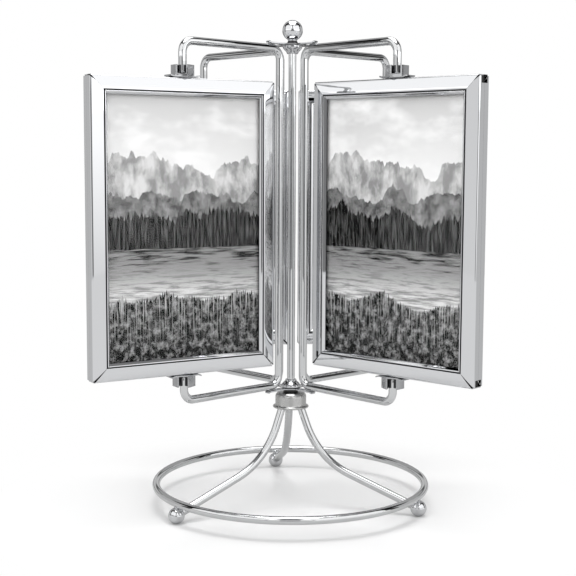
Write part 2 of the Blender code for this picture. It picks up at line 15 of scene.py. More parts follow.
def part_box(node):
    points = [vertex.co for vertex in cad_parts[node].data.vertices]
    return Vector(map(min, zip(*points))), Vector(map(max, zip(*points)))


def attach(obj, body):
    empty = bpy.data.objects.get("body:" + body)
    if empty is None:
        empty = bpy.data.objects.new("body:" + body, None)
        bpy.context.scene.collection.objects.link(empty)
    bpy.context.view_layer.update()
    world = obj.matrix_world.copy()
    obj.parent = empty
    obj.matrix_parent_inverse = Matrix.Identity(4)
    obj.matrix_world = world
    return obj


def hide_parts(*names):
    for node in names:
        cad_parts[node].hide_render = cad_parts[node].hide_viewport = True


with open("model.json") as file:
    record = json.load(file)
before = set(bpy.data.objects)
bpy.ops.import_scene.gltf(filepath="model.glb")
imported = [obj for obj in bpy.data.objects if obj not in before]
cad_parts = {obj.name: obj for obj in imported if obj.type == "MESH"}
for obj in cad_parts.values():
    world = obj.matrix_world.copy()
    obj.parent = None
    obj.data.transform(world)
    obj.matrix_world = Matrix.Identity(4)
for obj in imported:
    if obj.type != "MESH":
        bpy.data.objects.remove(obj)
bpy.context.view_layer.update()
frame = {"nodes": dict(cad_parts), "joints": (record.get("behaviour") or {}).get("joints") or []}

# Base ring: one length of 4.8 mm steel wire, rolled into a circle, butt welded and plated with nickel
# and chromium. The plate mirrors the room, with a faint waviness that the rolling left in the wire.

RING_RADIUS = 0.0842
RING_WIRE_R = 0.0024
RING_STEPS = 192
WIRE_SIDES = 24

joint_at = {joint["name"]: Vector(joint["pos_m"]) for joint in frame["joints"]}
spindle = joint_at["carousel_spin"]
ring_low, ring_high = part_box("base_ring")
ring_z = (ring_low.z + ring_high.z) / 2


def srgb(code):
    """A hex colour as the eye reads it on a screen, turned to linear light."""
    channels = [int(code[at : at + 2], 16) / 255 for at in (1, 3, 5)]
    linear = [c / 12.92 if c <= 0.04045 else ((c + 0.055) / 1.055) ** 2.4 for c in channels]
    return (*linear, 1.0)


def new_material(name):
    """A new material, with its node tree and its surface node."""
    made = bpy.data.materials.new(name)
    made.use_nodes = True
    return made, made.node_tree, made.node_tree.nodes["Principled BSDF"]


def add_node(tree, kind, inputs, **settings):
    """Add one node, give it its settings, and set or link its inputs by name or number."""
    node = tree.nodes.new(kind)
    for name, value in settings.items():
        setattr(node, name, value)
    for name, value in inputs.items():
        if isinstance(value, bpy.types.NodeSocket):
            tree.links.new(value, node.inputs[name])
        else:
            node.inputs[name].default_value = value
    return node


def metal(name, colour, dull, shiny, haze_mm, wave_mm, wave_um):
    """A metal with patches of polish between two roughnesses, and a waviness of some micrometres."""
    made, tree, surface = new_material(name)
    surface.inputs["Base Color"].default_value = srgb(colour)
    surface.inputs["Metallic"].default_value = 1.0
    position = add_node(tree, "ShaderNodeTexCoord", {}).outputs["Object"]
    inputs = {"Vector": position, "Scale": 1000 / haze_mm, "Detail": 4.0}
    haze = add_node(tree, "ShaderNodeTexNoise", inputs).outputs["Fac"]
    inputs = {"Value": haze, "From Min": 0.35, "From Max": 0.65, "To Min": shiny, "To Max": dull}
    polish = add_node(tree, "ShaderNodeMapRange", inputs).outputs["Result"]
    tree.links.new(polish, surface.inputs["Roughness"])
    inputs = {"Vector": position, "Scale": 1000 / wave_mm, "Detail": 1.0}
    wave = add_node(tree, "ShaderNodeTexNoise", inputs).outputs["Fac"]
    inputs = {"Height": wave, "Strength": 1.0, "Distance": wave_um / 1000000}
    dents = add_node(tree, "ShaderNodeBump", inputs).outputs["Normal"]
    tree.links.new(dents, surface.inputs["Normal"])
    return made


def new_piece(bm, name, surface, body, stands_for, crease=40.0):
    """Make a shaped mesh a piece that rides on a body and stands for CAD nodes."""
    mesh = bpy.data.meshes.new(name)
    bm.to_mesh(mesh)
    bm.free()
    mesh.materials.append(surface)
    mesh.shade_smooth()
    mesh.set_sharp_from_angle(angle=math.radians(crease))
    piece = bpy.data.objects.new(name, mesh)
    bpy.context.scene.collection.objects.link(piece)
    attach(piece, body)
    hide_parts(*stands_for)
    return piece


# Chromium over bright nickel, as plated: a cool pale grey mirror, softened in places by handling.
wire_chrome = metal("chromed_wire", "#D9DADB", dull=0.04, shiny=0.015, haze_mm=9.0, wave_mm=6.0, wave_um=1.5)

bm = bmesh.new()
section = bmesh.ops.create_circle(bm, segments=WIRE_SIDES, radius=RING_WIRE_R)["verts"]
bmesh.ops.rotate(bm, verts=section, matrix=Matrix.Rotation(math.pi / 2, 3, "X"))
bmesh.ops.translate(bm, verts=section, vec=(RING_RADIUS, 0.0, 0.0))
bmesh.ops.spin(
    bm,
    geom=bm.verts[:] + bm.edges[:],
    cent=(0.0, 0.0, 0.0),
    axis=(0.0, 0.0, 1.0),
    angle=math.tau,
    steps=RING_STEPS,
    use_merge=True,
)
bmesh.ops.translate(bm, verts=bm.verts, vec=(spindle.x, spindle.y, ring_z))
bmesh.ops.recalc_face_normals(bm, faces=bm.faces)
new_piece(bm, "rolled_ring", wire_chrome, "base", ["base_ring"])

# Legs: three 4.8 mm wires, each bent twice in one upright plane. They come steeply out of the hub, run
# out almost flat under the ring, and are pressed into the ball feet.

LEG_AZIMUTHS = {"front_left": -142.9, "front_right": -22.9, "rear": 97.1}
LEG_WIRE_R = 0.0024
LEG_SLOPE = math.radians(20.0)
LEG_STEEPNESS = math.radians(69.0)
LEG_TOP_BEND = 0.008
LEG_KNEE_BEND = 0.049
LEG_BEND_STEPS = 24
LEG_UPRIGHT_REACH = 0.00645
LEG_NECK_Z = 0.0612
LEG_TOP_Z = 0.0650
LEG_TIP_SHORT = 0.0027
FOOT_R = 0.0049


def only(kind, items):
    """The vertices, or the edges, among what an operator gives back."""
    return [item for item in items if isinstance(item, kind)]


def bent_wire(bm, corners, bends, wire_r, steps):
    """Push a round section along each straight run and spin it round each bend, as a wire bender does."""
    heading = (corners[1] - corners[0]).normalized()
    section = bmesh.ops.create_circle(bm, segments=WIRE_SIDES, radius=wire_r)["verts"]
    bmesh.ops.rotate(bm, verts=section, matrix=heading.to_track_quat("Z", "Y").to_matrix())
    bmesh.ops.translate(bm, verts=section, vec=corners[0])
    rim = bm.edges[:]
    bmesh.ops.contextual_create(bm, geom=rim)
    used = 0.0
    for index, corner in enumerate(corners[1:]):
        last = index == len(corners) - 2
        if not last:
            out = (corners[index + 2] - corner).normalized()
            turn = heading.angle(out)
            tangent = bends[index] * math.tan(turn / 2)
        run = (corner - corners[index]).length - used - (0.0 if last else tangent)
        grown = bmesh.ops.extrude_edge_only(bm, edges=rim)["geom"]
        bmesh.ops.translate(bm, verts=only(bmesh.types.BMVert, grown), vec=heading * run)
        rim = only(bmesh.types.BMEdge, grown)
        if last:
            bmesh.ops.contextual_create(bm, geom=rim)
        else:
            axis = heading.cross(out).normalized()
            centre = corner - heading * tangent + axis.cross(heading) * bends[index]
            spun = bmesh.ops.spin(bm, geom=rim, cent=centre, axis=axis, angle=turn, steps=steps)
            rim = only(bmesh.types.BMEdge, spun["geom_last"])
            heading = out
            used = tangent
    bmesh.ops.recalc_face_normals(bm, faces=bm.faces)


spindle_foot = Vector((spindle.x, spindle.y, 0.0))


def turn_out(bm, azimuth):
    """Turn what was shaped in the plane of azimuth 0 to its own azimuth round the spindle."""
    turn = Matrix.Rotation(math.radians(azimuth), 4, "Z")
    bmesh.ops.transform(bm, matrix=Matrix.Translation(spindle_foot) @ turn, verts=bm.verts)


foot_low, foot_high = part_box("rear_foot")
foot_middle = Vector((RING_RADIUS, 0.0, foot_high.z - FOOT_R))
leg_tip = foot_middle - LEG_TIP_SHORT * Vector((math.cos(LEG_SLOPE), 0.0, -math.sin(LEG_SLOPE)))
neck = Vector((LEG_UPRIGHT_REACH, 0.0, LEG_NECK_Z))
steep = math.tan(LEG_STEEPNESS)
shallow = math.tan(LEG_SLOPE)
knee_reach = (neck.z - leg_tip.z + steep * neck.x - shallow * leg_tip.x) / (steep - shallow)
knee = Vector((knee_reach, 0.0, neck.z - steep * (knee_reach - neck.x)))
leg_top = Vector((LEG_UPRIGHT_REACH, 0.0, LEG_TOP_Z))
leg_corners = [leg_top, neck, knee, leg_tip]

for place, azimuth in LEG_AZIMUTHS.items():
    bm = bmesh.new()
    bent_wire(bm, leg_corners, [LEG_TOP_BEND, LEG_KNEE_BEND], LEG_WIRE_R, LEG_BEND_STEPS)
    turn_out(bm, azimuth)
    new_piece(bm, f"{place}_bent_leg", wire_chrome, "base", [f"{place}_leg"])

# Ball feet: 9.8 mm steel balls, bored for the leg ends and pressed on them. A spot weld holds the ring
# on top of each, and each stands on a small flat.

WELD_HALF_SIZE = (0.0013, 0.0019, 0.0007)


def ball_on_flat(bm, radius, centre, flat_z):
    """A ball whose underside is cut off level at a height."""
    bmesh.ops.create_uvsphere(bm, u_segments=48, v_segments=32, radius=radius)
    bmesh.ops.translate(bm, verts=bm.verts, vec=centre)
    cut = bmesh.ops.bisect_plane(
        bm,
        geom=bm.verts[:] + bm.edges[:] + bm.faces[:],
        plane_co=(0.0, 0.0, flat_z),
        plane_no=(0.0, 0.0, -1.0),
        clear_outer=True,
    )
    bmesh.ops.contextual_create(bm, geom=only(bmesh.types.BMEdge, cut["geom_cut"]))


# The same plate on ground and polished balls: a brighter and more even mirror than on drawn wire.
ball_chrome = metal("chromed_ball", "#DFE0E2", dull=0.02, shiny=0.008, haze_mm=6.0, wave_mm=8.0, wave_um=1.0)
weld_z = (foot_high.z + ring_low.z) / 2
for place, azimuth in LEG_AZIMUTHS.items():
    bm = bmesh.new()
    ball_on_flat(bm, FOOT_R, foot_middle, foot_low.z)
    turn_out(bm, azimuth)
    new_piece(bm, f"{place}_ball", ball_chrome, "base", [f"{place}_foot"])

    bm = bmesh.new()
    bmesh.ops.create_uvsphere(bm, u_segments=24, v_segments=12, radius=1.0)
    bmesh.ops.scale(bm, verts=bm.verts, vec=WELD_HALF_SIZE)
    bmesh.ops.translate(bm, verts=bm.verts, vec=(RING_RADIUS, 0.0, weld_z))
    turn_out(bm, azimuth)
    new_piece(bm, f"{place}_spot_weld", wire_chrome, "base", [])

# Hub: a cup pressed from steel sheet and plated satin, its brim rolled outwards, over the tops of the
# legs. A flanged nylon bush stands in its middle, and a steel core inside holds legs and bush.

CUP_RIM_Z = 0.0598
CUP_HEIGHT = 0.0099
CUP_R = 0.00965
CUP_WALL = 0.0005
CUP_SHOULDER = 0.0030
CUP_BRIM_R = 0.0112
CUP_BEAD = 0.0007
CUP_BRIM_HEIGHT = 0.0022
CUP_FILLET = 0.0010
CUP_FILLET_RISE = 0.0002
BUSH_BORE_R = 0.0025
BUSH_STEM_R = 0.0034
BUSH_FLANGE_R = 0.0048
BUSH_EDGE = 0.0002
STEM_HOLE_R = 0.0037
TOUCH_GAP = 0.0003
SAME_POINT = 0.0000005
NYLON_GRAIN_MM = 0.4
NYLON_GRAIN_DEPTH = 0.00002


def arc(centre, radius, start, end, steps):
    """Points along an arc of a profile, between two angles in degrees."""
    turns = [math.radians(start + (end - start) * step / steps) for step in range(steps + 1)]
    return [(centre[0] + radius * math.cos(turn), centre[1] + radius * math.sin(turn)) for turn in turns]


def turned(bm, profile, closed=True, steps=64):
    """Spin a profile of (radius, height) once round the spindle. A closed profile ends where it began."""
    verts = [bm.verts.new((radius, 0.0, height)) for radius, height in profile]
    for start, end in zip(verts, verts[1:]):
        bm.edges.new((start, end))
    if closed:
        bm.edges.new((verts[-1], verts[0]))
    bmesh.ops.spin(
        bm,
        geom=bm.verts[:] + bm.edges[:],
        cent=(0.0, 0.0, 0.0),
        axis=(0.0, 0.0, 1.0),
        angle=math.tau,
        steps=steps,
        use_merge=True,
    )
    bmesh.ops.remove_doubles(bm, verts=bm.verts, dist=SAME_POINT)
    bmesh.ops.translate(bm, verts=bm.verts, vec=spindle_foot)
    bmesh.ops.recalc_face_normals(bm, faces=bm.faces)


def refinish(node_name, surface):
    """Give the mesh of a CAD node, which shows as it is, a finish of its own."""
    node = frame["nodes"][node_name]
    node.data.materials.clear()
    node.data.materials.append(surface)


def blend_tones(tree, value, low, high, below, above):
    """Change one tone into another while a value goes from low to high."""
    inputs = {"Value": value, "From Min": low, "From Max": high}
    amount = add_node(tree, "ShaderNodeMapRange", inputs).outputs["Result"]
    return add_node(tree, "ShaderNodeMix", {0: amount, 6: below, 7: above}, data_type="RGBA").outputs[2]


cup_top = CUP_RIM_Z + CUP_HEIGHT
brim_top = CUP_RIM_Z + CUP_BRIM_HEIGHT
shoulder = (CUP_R - CUP_SHOULDER, cup_top - CUP_SHOULDER)
brim_bead = (CUP_BRIM_R - CUP_BEAD, CUP_RIM_Z + CUP_BEAD)
cup_outside = [(STEM_HOLE_R, cup_top)] + arc(shoulder, CUP_SHOULDER, 90, 0, 12)
cup_outside += arc((CUP_R + CUP_FILLET, brim_top + CUP_FILLET_RISE), CUP_FILLET, 180, 232, 6)
cup_outside += arc(brim_bead, CUP_BEAD, 62, -90, 10)
cup_inside = [(CUP_R, CUP_RIM_Z + CUP_BEAD), (CUP_R - CUP_WALL, brim_top)]
cup_inside += arc(shoulder, CUP_SHOULDER - CUP_WALL, 0, 90, 8) + [(STEM_HOLE_R, cup_top - CUP_WALL)]

# Satin nickel on pressed steel: a soft grey that spreads each highlight into a broad patch.
satin_nickel = metal("satin_nickel", "#C3C3C2", dull=0.36, shiny=0.24, haze_mm=3.0, wave_mm=0.35, wave_um=3.0)
bm = bmesh.new()
turned(bm, cup_outside + cup_inside)
new_piece(bm, "pressed_cup", satin_nickel, "base", ["hub_cup"], crease=35.0)

# Oiled mild steel, hidden in the cup: dark, with a dull shine.
oiled_steel = metal("oiled_steel", "#6A6A6B", dull=0.48, shiny=0.34, haze_mm=4.0, wave_mm=0.6, wave_um=4.0)
refinish("hub_core", oiled_steel)

bush_low, bush_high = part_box("pivot_bush")
flange_bottom = cup_top + TOUCH_GAP
bush = [(BUSH_BORE_R, bush_high.z - BUSH_EDGE), (BUSH_BORE_R + BUSH_EDGE, bush_high.z)]
bush += [(BUSH_FLANGE_R - BUSH_EDGE, bush_high.z), (BUSH_FLANGE_R, bush_high.z - BUSH_EDGE)]
bush += [(BUSH_FLANGE_R, flange_bottom), (BUSH_STEM_R, flange_bottom), (BUSH_STEM_R, bush_low.z)]
bush += [(BUSH_BORE_R, bush_low.z)]

# Black nylon, moulded: near black, with a dull skin that a fine grain breaks up.
black_nylon, tree, surface = new_material("black_nylon")
surface.inputs["Roughness"].default_value = 0.42
surface.inputs["IOR"].default_value = 1.53
position = add_node(tree, "ShaderNodeTexCoord", {}).outputs["Object"]
inputs = {"Vector": position, "Scale": 1000 / NYLON_GRAIN_MM, "Detail": 3.0}
grain = add_node(tree, "ShaderNodeTexNoise", inputs).outputs["Fac"]
nylon_tone = blend_tones(tree, grain, 0.0, 1.0, srgb("#151516"), srgb("#242426"))
tree.links.new(nylon_tone, surface.inputs["Base Color"])
inputs = {"Height": grain, "Strength": 0.5, "Distance": NYLON_GRAIN_DEPTH}
skin = add_node(tree, "ShaderNodeBump", inputs).outputs["Normal"]
tree.links.new(skin, surface.inputs["Normal"])
bm = bmesh.new()
turned(bm, bush)
new_piece(bm, "moulded_bush", black_nylon, "base", ["pivot_bush"], crease=30.0)

# Rod: a 4.8 mm plated rod that the four wires stand round. It turns in the bush, and a small collar
# under the bush keeps it from lifting out.

ROD_R = 0.0024
ROD_CHAMFER = 0.0003

rod_low, rod_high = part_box("centre_rod")
rod = [(0.0, rod_low.z), (ROD_R - ROD_CHAMFER, rod_low.z), (ROD_R, rod_low.z + ROD_CHAMFER)]
rod += [(ROD_R, rod_high.z - ROD_CHAMFER), (ROD_R - ROD_CHAMFER, rod_high.z), (0.0, rod_high.z)]
bm = bmesh.new()
turned(bm, rod, closed=False, steps=WIRE_SIDES)
new_piece(bm, "plated_rod", wire_chrome, "carousel", ["centre_rod"])
refinish("retaining_collar", oiled_steel)

# Arms: four 4.8 mm wires, each bent four times the same way into an open C that shares the spindle's
# line. The two short ends of each point at each other and are the pins that its frame turns on.

CAROUSEL_TURN = -1.5
ARM_AZIMUTHS = {"front_left": 225.0, "front_right": 315.0, "rear_left": 135.0, "rear_right": 45.0}
ARM_WIRE_R = 0.0024
ARM_ORBIT = 0.0105
ARM_BEND = 0.0065
ARM_BEND_STEPS = 16
ARM_REACH = 0.084983
ARM_UPPER_Z = 0.2804
ARM_LOWER_Z = 0.0752
UPPER_PIN_Z = 0.2621
LOWER_PIN_Z = 0.0899
PIN_ROUNDING = 0.0013


def round_off(bm, edges, width, facets, clamp=False):
    """Round edges off to a width, in a number of facets, clamped where there is no room for it."""
    bmesh.ops.bevel(
        bm,
        geom=edges,
        offset=width,
        segments=facets,
        profile=0.5,
        affect="EDGES",
        material=-1,
        clamp_overlap=clamp,
    )


arm_corners = [
    Vector((ARM_REACH, 0.0, UPPER_PIN_Z)),
    Vector((ARM_REACH, 0.0, ARM_UPPER_Z)),
    Vector((ARM_ORBIT, 0.0, ARM_UPPER_Z)),
    Vector((ARM_ORBIT, 0.0, ARM_LOWER_Z)),
    Vector((ARM_REACH, 0.0, ARM_LOWER_Z)),
    Vector((ARM_REACH, 0.0, LOWER_PIN_Z)),
]
for place, azimuth in ARM_AZIMUTHS.items():
    bm = bmesh.new()
    bent_wire(bm, arm_corners, [ARM_BEND] * 4, ARM_WIRE_R, ARM_BEND_STEPS)
    pin_ends = [face for face in bm.faces if len(face.verts) == WIRE_SIDES]
    round_off(bm, [edge for face in pin_ends for edge in face.edges], PIN_ROUNDING, 5)
    turn_out(bm, azimuth + CAROUSEL_TURN)
    new_piece(bm, f"{place}_bent_arm", wire_chrome, "carousel", [f"{place}_arm"])

# Spider plates: a four-armed plate is blanked from 0.8 mm steel, its tips curled, and laid across the
# wires' bends at each end. A bell-shaped collar in the middle of the bends centres the wires.

PLATE_HUB_R = 0.0065
PLATE_FLAT_REACH = 0.0180
PLATE_TIP_REACH = 0.0203
PLATE_TIP_WIDTH = 0.0035
PLATE_TIP_LIFT = 0.0009
PLATE_TIP_STEPS = 6
PLATE_THICKNESS = 0.0008
PLATE_EDGE = 0.00015
PLATE_SHARP_ANGLE = 1.0
COLLAR_R = 0.0060
COLLAR_TIP_R = 0.0034
COLLAR_HEIGHT = 0.0048
COLLAR_BAND = 0.0008
COLLAR_EDGE = 0.0002
COLLAR_BORE_R = 0.0027
BELL_STEPS = 14


def blanked_spider(bm):
    """The four-armed plate, lying on z = 0 with its tips curled up."""
    bmesh.ops.create_circle(bm, cap_ends=True, segments=8, radius=PLATE_HUB_R / math.cos(math.pi / 8))
    bmesh.ops.rotate(bm, verts=bm.verts, matrix=Matrix.Rotation(math.pi / 8, 3, "Z"))
    hub_edges = list(bm.edges)
    arm_width = hub_edges[0].calc_length()
    for azimuth in ARM_AZIMUTHS.values():
        outward = Vector((math.cos(math.radians(azimuth)), math.sin(math.radians(azimuth)), 0.0))
        edge = max(hub_edges, key=lambda e: (e.verts[0].co + e.verts[1].co).dot(outward))
        reached = PLATE_HUB_R
        lifted = 0.0
        for step in range(PLATE_TIP_STEPS + 1):
            along = step / PLATE_TIP_STEPS
            reach = PLATE_FLAT_REACH + (PLATE_TIP_REACH - PLATE_FLAT_REACH) * along
            lift = PLATE_TIP_LIFT * along**2
            grown = bmesh.ops.extrude_edge_only(bm, edges=[edge])["geom"]
            ends = only(bmesh.types.BMVert, grown)
            step_out = outward * (reach - reached) + Vector((0.0, 0.0, lift - lifted))
            bmesh.ops.translate(bm, verts=ends, vec=step_out)
            middle = (ends[0].co + ends[1].co) / 2
            width = arm_width + (PLATE_TIP_WIDTH - arm_width) * along
            narrowed = width / (ends[0].co - ends[1].co).length
            bmesh.ops.scale(bm, verts=ends, vec=(narrowed,) * 3, space=Matrix.Translation(-middle))
            edge = only(bmesh.types.BMEdge, grown)[0]
            reached = reach
            lifted = lift
    bmesh.ops.recalc_face_normals(bm, faces=bm.faces)
    if sum(face.normal.z for face in bm.faces) > 0:
        bmesh.ops.reverse_faces(bm, faces=bm.faces)
    bmesh.ops.solidify(bm, geom=bm.faces[:], thickness=PLATE_THICKNESS)
    bmesh.ops.recalc_face_normals(bm, faces=bm.faces)
    inner_edges = [edge for edge in bm.edges if len(edge.link_faces) == 2]
    corners = [edge for edge in inner_edges if edge.calc_face_angle() > PLATE_SHARP_ANGLE]
    round_off(bm, corners, PLATE_EDGE, 2)


bell = [(COLLAR_BORE_R, 0.0), (COLLAR_R - COLLAR_EDGE, 0.0)]
bell += [(COLLAR_R, -COLLAR_EDGE), (COLLAR_R, -COLLAR_BAND)]
for step in range(1, BELL_STEPS + 1):
    along = step / BELL_STEPS
    radius = COLLAR_TIP_R + (COLLAR_R - COLLAR_TIP_R) * (1 + math.cos(math.pi * along)) / 2
    bell.append((radius, -COLLAR_BAND - (COLLAR_HEIGHT - COLLAR_BAND) * along))
bell.append((COLLAR_BORE_R, -COLLAR_HEIGHT))

# The plates and collars are barrel plated: the same chromium, a little greyer and less level.
barrel_chrome = metal(
    "barrel_plated_chrome", "#C9CACC", dull=0.07, shiny=0.03, haze_mm=4.0, wave_mm=2.0, wave_um=3.0
)
for level, flip in (("upper", 1), ("lower", -1)):
    plate_node = f"{level}_plate"
    plate_low, plate_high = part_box(plate_node)
    bm = bmesh.new()
    blanked_spider(bm)
    bmesh.ops.rotate(bm, verts=bm.verts, matrix=Matrix.Rotation(math.radians(CAROUSEL_TURN * flip), 3, "Z"))
    if flip < 0:
        bmesh.ops.rotate(bm, verts=bm.verts, matrix=Matrix.Rotation(math.pi, 3, "X"))
    heights = [vert.co.z for vert in bm.verts]
    seat = plate_low.z - min(heights) if flip > 0 else plate_high.z - max(heights)
    bmesh.ops.translate(bm, verts=bm.verts, vec=(spindle.x, spindle.y, seat))
    name = f"{level}_spider_plate"
    new_piece(bm, name, barrel_chrome, "carousel", [plate_node], crease=30.0)

    collar_node = f"{level}_collar"
    collar_low, collar_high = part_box(collar_node)
    bm = bmesh.new()
    band_z = collar_high.z if flip > 0 else collar_low.z
    turned(bm, [(radius, band_z + flip * height) for radius, height in bell])
    name = f"{level}_bell_collar"
    new_piece(bm, name, barrel_chrome, "carousel", [collar_node], crease=35.0)

# Finial: a turned 12.5 mm steel ball with a short flared neck, bored and pressed on the rod's end over
# the upper plate, and polished before it is plated.

FINIAL_R = 0.00625
FINIAL_NECK_R = 0.0027
FINIAL_FOOT_R = 0.0034
FINIAL_FOOT_EDGE = 0.0002
FINIAL_NECK_HEIGHT = 0.0016
FINIAL_FLARE_R = 0.0009
FINIAL_FLARE_OUT = 0.0003
FINIAL_FLARE_DROP = 0.0006
FINIAL_BORE_DEPTH = 0.0055
FINIAL_BORE_R = 0.0027

finial_low, finial_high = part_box("ball_finial")
finial_z = finial_high.z - FINIAL_R
neck_angle = -90.0 + math.degrees(math.asin(FINIAL_NECK_R / FINIAL_R))
finial = [(0.0, finial_high.z)] + arc((0.0, finial_z), FINIAL_R, 90.0, neck_angle, 36)[1:]
flare = (FINIAL_FOOT_R + FINIAL_FLARE_OUT, finial[-1][1] - FINIAL_FLARE_DROP)
bore_top = finial_low.z + FINIAL_BORE_DEPTH
finial += arc(flare, FINIAL_FLARE_R, 150, 205, 6)
finial += [(FINIAL_FOOT_R, finial_low.z + FINIAL_FOOT_EDGE), (FINIAL_FOOT_R, finial_low.z)]
finial += [(FINIAL_BORE_R, finial_low.z), (FINIAL_BORE_R, bore_top), (0.0, bore_top)]

# Painted shade in creases, recesses and inner sides: plate made dark grey and dull where shade falls.
painted_shade_plate = metal(
    "painted_shade_plate", "#4A4A4C", dull=0.42, shiny=0.28, haze_mm=2.0, wave_mm=0.8, wave_um=3.0
)
bm = bmesh.new()
turned(bm, finial, closed=False, steps=72)
neck_top = finial_low.z + FINIAL_NECK_HEIGHT
# The neck under the ball gets the painted shade plate, darkened as shade under the ball.
for face in bm.faces:
    face.material_index = int(face.calc_center_median().z < neck_top)
ball = new_piece(bm, "turned_finial", ball_chrome, "carousel", ["ball_finial"], crease=35.0)
ball.data.materials.append(painted_shade_plate)

# Bezels: each face of a frame is one rim pressed from 0.5 mm steel strip and mitred at the corners. It
# rises in a slight curve to a rolled bead round the glass. The two rims of a frame meet on its edge.

FRAME_WIDTH = 0.115
FRAME_HEIGHT = 0.168
FRAME_YAWS = {"front_left": 32.8, "front_right": -40.3, "rear_left": -4.4, "rear_right": 1.7}
EDGE_HALF = 0.0047
PARTING_GAP = 0.00003
BEZEL_WALL = 0.0005
BEZEL_CORNER_R = 0.0010
FACE_RISE = 0.0009
FACE_FALL = 0.00001
FACE_STEPS = 10
FACE_MARGIN = 0.0001
CREASE_INSET = 0.0080
CREASE_HALF_WIDTH = 0.00035
CREASE_DEPTH = 0.0010
CREASE_SHOULDER = 0.00004
BEAD_R = 0.00035
BEAD_CREST = 0.0058
RAIL_WIDTH = 0.0102
LIP_TOP = 0.0044
LIP_BOTTOM = 0.0037
LIP_DEPTH = 0.0001
MITRE_GAP = 0.00012
RAIL_END_TOP = 0.0006
RAIL_END_HEIGHT = 0.0039
RAIL_END_HALF_WIDTH = 0.00275
WALL_DEPTH = 0.00001

# The lip's rounded edge, as (distance out from its end, height over its top).
LIP_ROUNDING = ((0.0002, 0.00012), (0.00005, 0.0), (0.0, -0.00015))

# A mitre's slit is widest at the frame's corner: how far in it narrows to the gap, and its width there.
MITRE_MOUTHS = {"top": (0.0034, 0.0011), "bottom": (0.0078, 0.0012)}

frame_places = {}
for place, yaw in FRAME_YAWS.items():
    turn = Matrix.Rotation(math.radians(CAROUSEL_TURN + yaw), 4, "Z")
    frame_places[place] = Matrix.Translation(joint_at[f"{place}_frame_spin"]) @ turn

# The rail's section, as (distance in from the frame's edge, height over its middle plane).
face_top = EDGE_HALF + FACE_RISE
crease_start = CREASE_INSET - CREASE_HALF_WIDTH
rail_section = [(0.0, PARTING_GAP)]
rail_section += arc((BEZEL_CORNER_R, EDGE_HALF - BEZEL_CORNER_R), BEZEL_CORNER_R, 180, 107, 8)
face_start = rail_section[-1][0]
for step in range(1, FACE_STEPS + 1):
    along = step / FACE_STEPS
    height = EDGE_HALF + FACE_RISE * (2 * along - along * along) - FACE_FALL * along
    rail_section.append((face_start + (crease_start - FACE_MARGIN - face_start) * along, height))
rail_section += [(crease_start, face_top - CREASE_SHOULDER), (CREASE_INSET, face_top - CREASE_DEPTH)]
rail_section += arc((CREASE_INSET + CREASE_HALF_WIDTH + BEAD_R, BEAD_CREST - BEAD_R), BEAD_R, 165, 56, 8)
rail_section += [(RAIL_WIDTH - out, LIP_TOP + rise) for out, rise in LIP_ROUNDING]
rail_section += [(RAIL_WIDTH, LIP_BOTTOM)]


def outer_wall(bm, half_across):
    """The faces of a rail that lie in the frame's edge."""
    return [face for face in bm.faces if face.calc_center_median().y > half_across - WALL_DEPTH]


def open_rail_ends(bm, half_length, half_across):
    """Cut openings near both ends of a rail's outer wall, where the rails across it come out."""
    level = half_length - RAIL_END_TOP
    cuts = []
    for side in (1, -1):
        for down in (0.0, RAIL_END_HEIGHT):
            cuts.append(((side * (level - down), 0.0, 0.0), (1.0, 0.0, 0.0)))
    cuts.append(((0.0, 0.0, RAIL_END_HALF_WIDTH), (0.0, 0.0, 1.0)))
    for point, normal in cuts:
        walls = outer_wall(bm, half_across)
        around = dict.fromkeys(item for face in walls for item in (*face.verts, *face.edges))
        bmesh.ops.bisect_plane(bm, geom=[*walls, *around], plane_co=point, plane_no=normal)
    openings = []
    for face in outer_wall(bm, half_across):
        middle = face.calc_center_median()
        if middle.z < RAIL_END_HALF_WIDTH and level - RAIL_END_HEIGHT < abs(middle.x) < level:
            openings.append(face)
    bmesh.ops.delete(bm, geom=openings, context="FACES")


def pressed_rail(bm, half_length, half_across, mouths, open_ends):
    """One rail along X, cut to mitres whose slits open towards the frame's corners."""
    section = [bm.verts.new((-half_length, half_across - inset, height)) for inset, height in rail_section]
    for start, end in zip(section, section[1:]):
        bm.edges.new((start, end))
    grown = bmesh.ops.extrude_edge_only(bm, edges=bm.edges[:])["geom"]
    bmesh.ops.translate(bm, verts=only(bmesh.types.BMVert, grown), vec=(2 * half_length, 0.0, 0.0))
    for side, (reach, mouth) in zip((-1, 1), mouths):
        for inner, slit in ((RAIL_WIDTH, MITRE_GAP), (reach, mouth)):
            start = half_length - slit / math.sqrt(2)
            end = half_length - inner - MITRE_GAP / math.sqrt(2)
            bmesh.ops.bisect_plane(
                bm,
                geom=bm.verts[:] + bm.edges[:] + bm.faces[:],
                plane_co=(side * start, half_across, 0.0),
                plane_no=(side * inner, end - start, 0.0),
                clear_outer=True,
            )
    if open_ends:
        open_rail_ends(bm, half_length, half_across)
    bmesh.ops.recalc_face_normals(bm, faces=bm.faces)
    if sum(face.normal.z * face.calc_area() for face in bm.faces) < 0:
        bmesh.ops.reverse_faces(bm, faces=bm.faces)
    bmesh.ops.solidify(bm, geom=bm.faces[:], thickness=BEZEL_WALL)
    bmesh.ops.recalc_face_normals(bm, faces=bm.faces)
    # The crease, the faces on the rail's inner side and the lip facing the glass get the painted shade plate,
    # as shade.
    core = Vector((0.0, half_across - RAIL_WIDTH / 2, EDGE_HALF / 2))
    for face in bm.faces:
        middle = face.calc_center_median()
        inset = half_across - middle.y
        in_crease = abs(inset - CREASE_INSET) < CREASE_HALF_WIDTH
        faces_in = (middle - core).yz.dot(face.normal.yz) < 0.0
        face.material_index = int(in_crease or faces_in or inset > RAIL_WIDTH - LIP_DEPTH)


